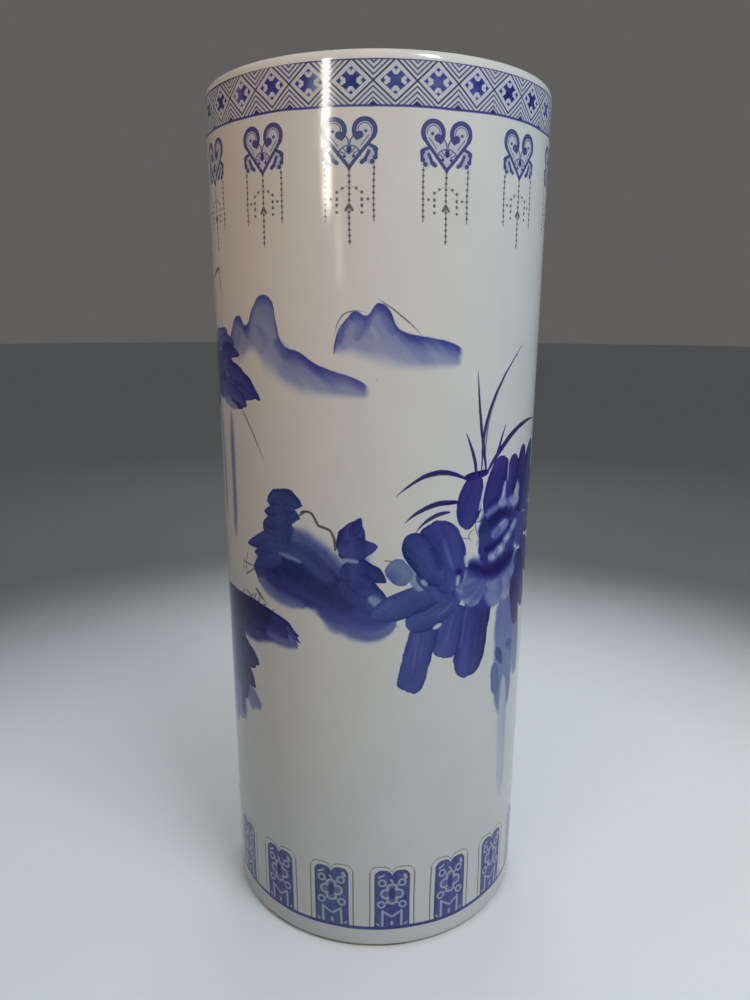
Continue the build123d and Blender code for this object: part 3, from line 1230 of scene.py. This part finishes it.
def arc(centre, radii, start, finish, steps):
    """Points on a quarter of an ellipse, from one angle in degrees to another."""
    points = []
    for step in range(steps + 1):
        angle = math.radians(start + (finish - start) * step / steps)
        points.append((centre[0] + radii[0] * math.cos(angle), centre[1] + radii[1] * math.sin(angle)))
    return points


def rows(start, finish, spacing, kept=()):
    """Points along a straight face at about even spacing, with some heights kept exactly."""
    stops = [start[1]] + [h for h in kept] + [finish[1]]
    stops.sort(reverse=finish[1] < start[1])
    points = []
    for low, high in zip(stops, stops[1:]):
        count = max(1, round(abs(high - low) / spacing))
        for step in range(count):
            height = low + (high - low) * step / count
            share = (height - start[1]) / (finish[1] - start[1])
            points.append((start[0] + (finish[0] - start[0]) * share, height))
    return points + [finish]


def outside(sizes, height):
    """Radius of the wall's outer face at a height."""
    share = (height - wall_low.z) / (wall_high.z - wall_low.z)
    return sizes.heel_radius + (sizes.mouth_radius - sizes.heel_radius) * share


def wall_section(sizes):
    """The wall's section as stretches of points: the painted face first, then the rest."""
    heel_steps = 6
    outer_spacing = 0.012
    inner_spacing = 0.02
    cut = sizes.heel_round
    bottom = wall_low.z
    top = wall_high.z
    seat = slab_high.x + sizes.lute_gap
    middle = sizes.mouth_radius - sizes.wall_thickness / 2.0
    groove = sizes.tongue_width / 2.0 + sizes.lute_gap
    groove_floor = lip_low.z - sizes.lute_gap
    inner_top = sizes.mouth_radius - sizes.wall_thickness
    inner_low = outside(sizes, slab_high.z) - sizes.wall_thickness
    heel = arc((sizes.heel_radius - cut, bottom + cut), (cut, cut), -90.0, 0.0, heel_steps)
    heel_edge = (outside(sizes, bottom + cut), bottom + cut)
    kept = [height * MM for height in (LAPPETS_FROM, SCENE_FROM, HEARTS_FROM, BAND_FROM)]
    painted = heel[:-1] + rows(heel_edge, (sizes.mouth_radius, top), outer_spacing, kept)
    rest = [
        (middle + groove, top),
        (middle + groove, groove_floor),
        (middle - groove, groove_floor),
        (middle - groove, top),
    ]
    rest += rows((inner_top, top), (inner_low, slab_high.z), inner_spacing)
    rest += [(seat, slab_high.z), (seat, bottom)]
    return painted, rest


def lip_section(sizes):
    """The lip's section: the rounded face first, then the tongue."""
    steps = 12
    outer = sizes.mouth_radius
    inner = outer - sizes.wall_thickness
    middle = outer - sizes.wall_thickness / 2.0
    half = sizes.tongue_width / 2.0
    base = wall_high.z
    rise = lip_high.z - base
    outer_cut = sizes.lip_outer_round
    inner_cut = sizes.lip_inner_round
    crown = arc((outer - outer_cut, base), (outer_cut, rise), 0.0, 90.0, steps)
    crown += arc((inner + inner_cut, base), (inner_cut, rise), 90.0, 180.0, steps)
    tongue = [
        (middle - half, base),
        (middle - half, lip_low.z),
        (middle + half, lip_low.z),
        (middle + half, base),
    ]
    return crown, tongue


def slab_section(sizes):
    """The floor slab's section, from the middle of its underside round to the middle of its top."""
    steps = 4
    edge_share = 0.6
    rings = (0.3, 0.6, 0.85)
    soft = sizes.edge_round * edge_share
    radius = slab_high.x
    under = [(0.0, slab_low.z)] + [(radius * share, slab_low.z) for share in rings]
    under += arc((radius - soft, slab_low.z + soft), (soft, soft), -90.0, 0.0, steps)
    above = arc((radius - soft, slab_high.z - soft), (soft, soft), 0.0, 90.0, steps)
    above += [(radius * share, slab_high.z) for share in reversed(rings)]
    return under + above + [(0.0, slab_high.z)], []


def coil_section(sizes):
    """The corner coil's section: the thumbed hollow first, then the faces against wall and slab."""
    steps = 12
    edge_share = 0.8
    edge = sizes.edge_round * edge_share
    low = slab_high.z
    high = coil_high.z
    leg = high - low
    outer_low = outside(sizes, low) - sizes.wall_thickness - sizes.lute_gap
    outer_high = coil_high.x
    inner_low = outer_low - leg
    start = Vector((inner_low, low + edge))
    finish = Vector((outer_high - edge, high))
    chord = finish - start
    drop = math.sqrt(max(leg**2 - (chord.length / 2.0) ** 2, 0.0))
    normal = Vector((-chord.y, chord.x)).normalized()
    centre = (start + finish) / 2.0 + normal * drop
    first = math.degrees(math.atan2(start.y - centre.y, start.x - centre.x))
    last = math.degrees(math.atan2(finish.y - centre.y, finish.x - centre.x))
    hollow = arc(centre, (leg, leg), first, last, steps)
    return hollow, [(outer_high, high), (outer_low, low), (inner_low, low)]


def foot_section(sizes):
    """The foot's section: its tread and sides, then the upstand under the slab."""
    steps = 5
    soft = sizes.edge_round
    outer = sizes.heel_radius - sizes.heel_round
    inner = foot_inner_radius()
    show = wall_low.z
    tread = arc((inner + soft, soft), (soft, soft), 180.0, 270.0, steps)
    tread += arc((outer - soft, soft), (soft, soft), 270.0, 360.0, steps)
    upstand = [(outer, show), (slab_high.x, show), (slab_high.x, foot_high.z), (inner, foot_high.z)]
    return tread, upstand


def foot_inner_radius():
    """Radius of the opening in the foot ring, read from its solid."""
    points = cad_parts["foot_ring"].data.vertices
    return min(math.hypot(point.co.x, point.co.y) for point in points)


def turned_tree():
    """Geometry nodes that turn a section about the upright axis into a closed member."""
    inputs = {
        "Section": "Geometry",
        "Columns": "Int",
        "Unevenness": "Float",
        "Swell": "Float",
        "Full Radius": "Float",
        "Seed": "Float",
        "Finish": "Material",
    }
    tree, given, end = node_group("Turned Clay", inputs, {"Geometry": "Geometry"}, "GeometryNodeTree")
    map_width = 0.994
    weld = 0.000005
    section = given["Section"]
    full = given["Full Radius"]
    count = added(tree, "GeometryNodeAttributeDomainSize", {0: section}, "Point Count")
    values = {"Size X": 1.0, "Size Y": 1.0, "Vertices X": given["Columns"] + 1.0, "Vertices Y": count}
    grid = added(tree, "GeometryNodeMeshGrid", values, "Mesh")
    flat = parts(added(tree, "GeometryNodeInputPosition"))
    turn = flat[0] * (2.0 * math.pi)
    row = ((flat[1] + 0.5) * (count - 1.0)).math("ROUND")

    def sampled(kind, value):
        values = {"Geometry": section, "Value": value, "Index": row}
        settings = {"data_type": kind, "domain": "POINT"}
        return added(tree, "GeometryNodeSampleIndex", values, "Value", **settings)

    values = {"Name": "rise"}
    rise = added(tree, "GeometryNodeInputNamedAttribute", values, "Attribute", data_type="FLOAT")
    chart = joined(flat[0].math("MULTIPLY_ADD", map_width, 0.5), sampled("FLOAT", rise))
    values = {"Geometry": grid, "Name": BAKE_MAP, "Value": chart}
    settings = {"data_type": "FLOAT2", "domain": "CORNER"}
    shape = added(tree, "GeometryNodeStoreNamedAttribute", values, **settings)

    position = added(tree, "GeometryNodeInputPosition")
    radius, _, height = parts(sampled("FLOAT_VECTOR", position))
    to_right = turn.math("SINE")
    to_front = turn.math("COSINE") * -1.0
    bearing = joined(to_right * full, to_front * full, height)
    values = {"Vector": bearing, "W": given["Seed"], "Scale": given["Swell"], "Detail": 1.0}
    swelling = added(tree, "ShaderNodeTexNoise", values, noise_dimensions="4D")
    wander = (swelling - 0.5) * given["Unevenness"]
    uneven = wander.math("MULTIPLY_ADD", radius / full, radius)
    point = joined(to_right * uneven, to_front * uneven, height)
    for kind, values in (
        ("SetPosition", {"Position": point}),
        ("MergeByDistance", {"Distance": weld}),
        ("SetShadeSmooth", {}),
        ("RealizeInstances", {}),
        ("SetMaterial", {"Material": given["Finish"]}),
    ):
        shape = added(tree, "GeometryNode" + kind, {"Geometry": shape, **values})
    return give(end, Geometry=shape)


def rises(face, rest, face_share):
    """Heights in the bake map: a set share of it for the face, the remainder for the rest."""
    loop = face + rest + face[:1]
    lengths = [math.dist(a, b) for a, b in zip(loop, loop[1:])]
    face_length = sum(lengths[: len(face) - 1])
    rest_length = sum(lengths[len(face) - 1 :])
    margin = 0.004
    heights = [margin]
    for index, length in enumerate(lengths):
        if index < len(face) - 1:
            heights.append(heights[-1] + length / face_length * (face_share - margin))
        else:
            heights.append(heights[-1] + length / rest_length * (1.0 - margin - face_share))
    return loop, heights


def turned(name, sections, material, node, face_share):
    """Turn a section into a closed piece that stands for a solid of the frame."""
    sizes = bpy.context.scene.stand_sizes
    tree = bpy.data.node_groups.get("Turned Clay") or turned_tree()
    loop, heights = rises(*sections, face_share)
    outline = bpy.data.meshes.new(name + "_section")
    outline.from_pydata([(radius, 0.0, height) for radius, height in loop], [], [])
    rise = outline.attributes.new("rise", "FLOAT", "POINT")
    rise.data.foreach_set("value", heights)
    wheel = bpy.data.objects.new(name + "_section", outline)
    bpy.context.scene.collection.objects.link(wheel)
    modifier = wheel.modifiers.new("Turned Clay", "NODES")
    modifier.node_group = tree
    values = {
        "Columns": sizes.columns,
        "Unevenness": sizes.unevenness,
        "Swell": sizes.swell,
        "Full Radius": sizes.mouth_radius,
        "Seed": SWELL_SEED,
        "Finish": material,
    }
    for item in tree.interface.items_tree:
        if item.in_out == "INPUT" and item.name in values:
            modifier[item.identifier] = values[item.name]
    ready = wheel.evaluated_get(bpy.context.evaluated_depsgraph_get())
    mesh = bpy.data.meshes.new_from_object(ready)
    bpy.data.objects.remove(wheel)
    bpy.data.meshes.remove(outline)
    mesh.name = name
    if not mesh.polygons:
        raise RuntimeError(f"{name} came out empty")
    shaped = bmesh.new()
    shaped.from_mesh(mesh)
    bmesh.ops.recalc_face_normals(shaped, faces=shaped.faces)
    shaped.to_mesh(mesh)
    shaped.free()
    mesh.set_sharp_from_angle(angle=SHARP_EDGE)
    piece = bpy.data.objects.new(name, mesh)
    bpy.context.scene.collection.objects.link(piece)
    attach(piece, BODY)
    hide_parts(node)
    return piece


def assign_bands(piece, bands):
    """Give the painted face's bands their own materials, by height and place around the wall."""
    radius_slack = 0.0005
    level_face = 0.5
    mesh = piece.data
    first = len(mesh.materials)
    for band in bands:
        mesh.materials.append(band.material)
    least_radius = bpy.context.scene.stand_sizes.heel_radius - radius_slack
    for polygon in mesh.polygons:
        centre = polygon.center
        if math.hypot(centre.x, centre.y) < least_radius or abs(polygon.normal.z) > level_face:
            continue
        height = centre.z / MM
        around = math.atan2(centre.x, -centre.y) * UNROLL_RADIUS
        along = (around + SCENE_WIDTH / 2.0) % SCENE_WIDTH - SCENE_WIDTH / 2.0
        for index, band in enumerate(bands):
            if band.low < height < band.high and band.start < along < band.finish:
                polygon.material_index = first + index


Band = namedtuple("Band", "material low high start finish")


class STAND_OT_wall(bpy.types.Operator):
    """Turn the tapered wall and paint its borders and garden scene"""

    bl_idname = "stand.wall"
    bl_label = "Painted Wall"

    def execute(self, context):
        sizes = context.scene.stand_sizes
        paint = context.scene.stand_paint
        plain = glazed_material("White Glaze", paint)
        section = wall_section(sizes)
        piece = turned("painted_wall", section, plain, "wall", face_share=0.88)
        half = SCENE_WIDTH / 2.0
        width = SCENE_WIDTH / SCENE_FIELDS
        top = wall_high.z / MM
        rim = border_material("Rim Band Glaze", paint, "Rim Band", band_group, paint.diamonds)
        hearts = border_material("Heart Glaze", paint, "Cloud Hearts", heart_group, paint.hearts)
        lappets = border_material("Lappet Glaze", paint, "Lappets", lappet_group, paint.lappets)
        bands = [
            Band(lappets, LAPPETS_FROM, SCENE_FROM, -half, half),
            Band(hearts, HEARTS_FROM, BAND_FROM, -half, half),
            Band(rim, BAND_FROM, top, -half, half),
        ]
        for index in range(SCENE_FIELDS):
            start = index * width - half
            material = scene_material(f"Scene Glaze {index + 1}", paint, start, start + width)
            bands.append(Band(material, SCENE_FROM, HEARTS_FROM, start, start + width))
        assign_bands(piece, bands)
        return {"FINISHED"}


class STAND_OT_lip(bpy.types.Operator):
    """Turn the rounded lip that closes the mouth"""

    bl_idname = "stand.lip"
    bl_label = "Lip"

    def execute(self, context):
        sizes = context.scene.stand_sizes
        material = glazed_material("Lip Glaze", context.scene.stand_paint)
        turned("lip", lip_section(sizes), material, "lip_ring", face_share=0.7)
        return {"FINISHED"}


class STAND_OT_base(bpy.types.Operator):
    """Turn the floor slab, glazed above and bare below"""

    bl_idname = "stand.base"
    bl_label = "Floor Slab"

    def execute(self, context):
        sizes = context.scene.stand_sizes
        middle = (slab_low.z + slab_high.z) / 2.0
        material = clay_material("Slab Glaze", context.scene.stand_paint, glazed_above=middle)
        turned("floor_slab", slab_section(sizes), material, "base_slab", face_share=0.99)
        return {"FINISHED"}


class STAND_OT_coil(bpy.types.Operator):
    """Turn the coil thumbed into the inside corner"""

    bl_idname = "stand.coil"
    bl_label = "Corner Coil"

    def execute(self, context):
        sizes = context.scene.stand_sizes
        material = glazed_material("Coil Glaze", context.scene.stand_paint)
        section = coil_section(sizes)
        turned("thumbed_coil", section, material, "corner_coil", face_share=0.5)
        return {"FINISHED"}


class STAND_OT_foot(bpy.types.Operator):
    """Turn the unglazed foot ring"""

    bl_idname = "stand.foot"
    bl_label = "Foot Ring"

    def execute(self, context):
        sizes = context.scene.stand_sizes
        material = clay_material("Foot Clay", context.scene.stand_paint)
        turned("bare_foot", foot_section(sizes), material, "foot_ring", face_share=0.6)
        return {"FINISHED"}


def seen_directly(tree):
    """A mask of the rays that show the floor and the background to the camera."""
    camera = added(tree, "ShaderNodeLightPath", output="Is Camera Ray")
    path = camera.socket.node.outputs
    glossy = Field(tree, path["Is Glossy Ray"])
    return camera.most(glossy).most(Field(tree, path["Is Transmission Ray"]))


def area_lamp(name, place, target, size, spread, watts, colour, in_gloss):
    """A rectangular lamp that faces a point, either a lamp that lights or one seen in the gloss."""
    data = bpy.data.lights.new(name, "AREA")
    data.shape = "RECTANGLE"
    data.size, data.size_y = size
    data.spread = math.radians(spread)
    data.energy = watts
    data.color = colour
    lamp = bpy.data.objects.new(name, data)
    facing = (Vector(target) - Vector(place)).to_track_quat("-Z", "Y")
    lamp.matrix_world = Matrix.Translation(place) @ facing.to_matrix().to_4x4()
    lamp.visible_camera = False
    lamp.visible_glossy = in_gloss
    lamp.visible_diffuse = not in_gloss
    bpy.context.scene.collection.objects.link(lamp)


class STAND_OT_stage(bpy.types.Operator):
    """Lay the floor and set the light and the camera"""

    bl_idname = "stand.stage"
    bl_label = "Stage"

    def execute(self, context):
        stage = context.scene.stand_stage
        self.lay_floor(stage)
        self.light(stage)
        self.aim(context.scene, stage)
        context.scene.view_settings.view_transform = "Standard"
        return {"FINISHED"}

    def lay_floor(self, stage):
        floor_radius = 12.0
        floor_sides = 96
        pale_until = 0.42
        dark_from = 1.0
        cloud_scale = 3.0
        cloud_reach = 0.1
        floor_roughness = 0.55
        shaped = bmesh.new()
        bmesh.ops.create_circle(shaped, cap_ends=True, segments=floor_sides, radius=floor_radius)
        mesh = bpy.data.meshes.new("floor")
        shaped.to_mesh(mesh)
        shaped.free()
        material, tree, shader, place = new_material("Pale Floor")
        # Painted pool of light: the floor is pale near the stand and darkens with distance to the far
        # colour, its edge broken by cloudy noise
        away = place.vector("LENGTH") + noise(place, cloud_scale, 3.0) * cloud_reach
        share = away.ramp(pale_until, dark_from)
        laid = blended(tree, share, stage.floor_colour, stage.floor_painted_falloff)
        shown = blended(tree, seen_directly(tree), stage.floor_return, laid)
        feed(tree, shader.inputs["Base Color"], shown)
        feed(tree, shader.inputs["Roughness"], floor_roughness)
        mesh.materials.append(material)
        floor = bpy.data.objects.new("floor", mesh)
        bpy.context.scene.collection.objects.link(floor)

    def light(self, stage):
        world = bpy.data.worlds.new("Room")
        bpy.context.scene.world = world
        world.use_nodes = True
        tree = world.node_tree
        tree.nodes.clear()
        output = tree.nodes.new("ShaderNodeOutputWorld")
        direction = added(tree, "ShaderNodeTexCoord", output="Generated")
        strength = parts(direction)[2].most(0.0) * stage.overhead + stage.ambient
        values = {"Color": (*stage.daylight, 1.0), "Strength": strength}
        even = added(tree, "ShaderNodeBackground", values)
        seen = added(tree, "ShaderNodeBackground", {"Color": (*stage.background, 1.0)})
        shown = added(tree, "ShaderNodeMixShader", {0: seen_directly(tree), 1: even, 2: seen})
        feed(tree, output.inputs["Surface"], shown)
        low = (0.0, 0.0, 0.20)
        middle = (0.0, 0.0, 0.40)
        high = (0.0, 0.0, 0.50)
        white = (0.90, 0.98, 1.0)
        warm = (1.0, 0.55, 0.22)
        cool = (0.76, 0.88, 1.0)
        glow = (1.0, 0.91, 0.78)
        lamps = (
            ("Key", (0.80, -1.00, 1.30), middle, (0.8, 0.8), 150, 9.2, white, False),
            ("Warm Fill", (-0.50, -0.85, 0.86), high, (0.3, 0.3), 58, 0.3, warm, False),
            ("Cool Fill", (1.9, -0.5, 0.15), low, (1.0, 1.0), 150, 2.9, cool, False),
            ("Back Fill", (0.0, 1.6, 1.3), middle, (1.0, 1.0), 150, 4.6, white, False),
            ("Strip", (-1.13, -1.87, 1.17), (0.0, -0.11, 0.56), (0.19, 0.86), 180, 24.0, glow, True),
            ("Low Strip", (-0.905, -2.02, 0.627), (0.0, -0.11, 0.50), (0.2, 0.2), 180, 0.6, glow, True),
            ("Lip Spark", (0.60, -0.85, 1.51), (0.03, -0.12, 0.61), (0.2, 0.5), 180, 12.0, white, True),
        )
        for lamp in lamps:
            area_lamp(*lamp)

    def aim(self, scene, stage):
        data = bpy.data.cameras.new("Camera")
        data.lens = stage.lens
        data.sensor_width = 36.0
        camera = bpy.data.objects.new("Camera", data)
        turn = Matrix.Rotation(stage.heading, 4, "Z")
        tilt = Matrix.Rotation(math.pi / 2.0 - stage.pitch, 4, "X")
        lean = Matrix.Rotation(stage.roll, 4, "Z")
        camera.matrix_world = Matrix.Translation(stage.eye) @ turn @ tilt @ lean
        scene.collection.objects.link(camera)
        scene.camera = camera


class STAND_PT_pieces(bpy.types.Panel):
    """Lists the pieces of the stand"""

    bl_label = "Umbrella Stand"
    bl_idname = "STAND_PT_pieces"
    bl_space_type = "VIEW_3D"
    bl_region_type = "UI"
    bl_category = "Stand"

    def draw(self, context):
        for operator in OPERATORS:
            self.layout.operator(operator.bl_idname)


OPERATORS = (
    STAND_OT_wall,
    STAND_OT_lip,
    STAND_OT_base,
    STAND_OT_coil,
    STAND_OT_foot,
    STAND_OT_stage,
)
CLASSES = (StandSizes, StandPaint, StandStage, *OPERATORS, STAND_PT_pieces)


def register():
    for item in CLASSES:
        bpy.utils.register_class(item)
    bpy.types.Scene.stand_sizes = bpy.props.PointerProperty(type=StandSizes)
    bpy.types.Scene.stand_paint = bpy.props.PointerProperty(type=StandPaint)
    bpy.types.Scene.stand_stage = bpy.props.PointerProperty(type=StandStage)


def unregister():
    del bpy.types.Scene.stand_stage
    del bpy.types.Scene.stand_paint
    del bpy.types.Scene.stand_sizes
    for item in reversed(CLASSES):
        bpy.utils.unregister_class(item)


def main():
    register()
    bpy.ops.stand.wall()
    bpy.ops.stand.lip()
    bpy.ops.stand.base()
    bpy.ops.stand.coil()
    bpy.ops.stand.foot()
    bpy.ops.stand.stage()


if __name__ == "__main__":
    main()
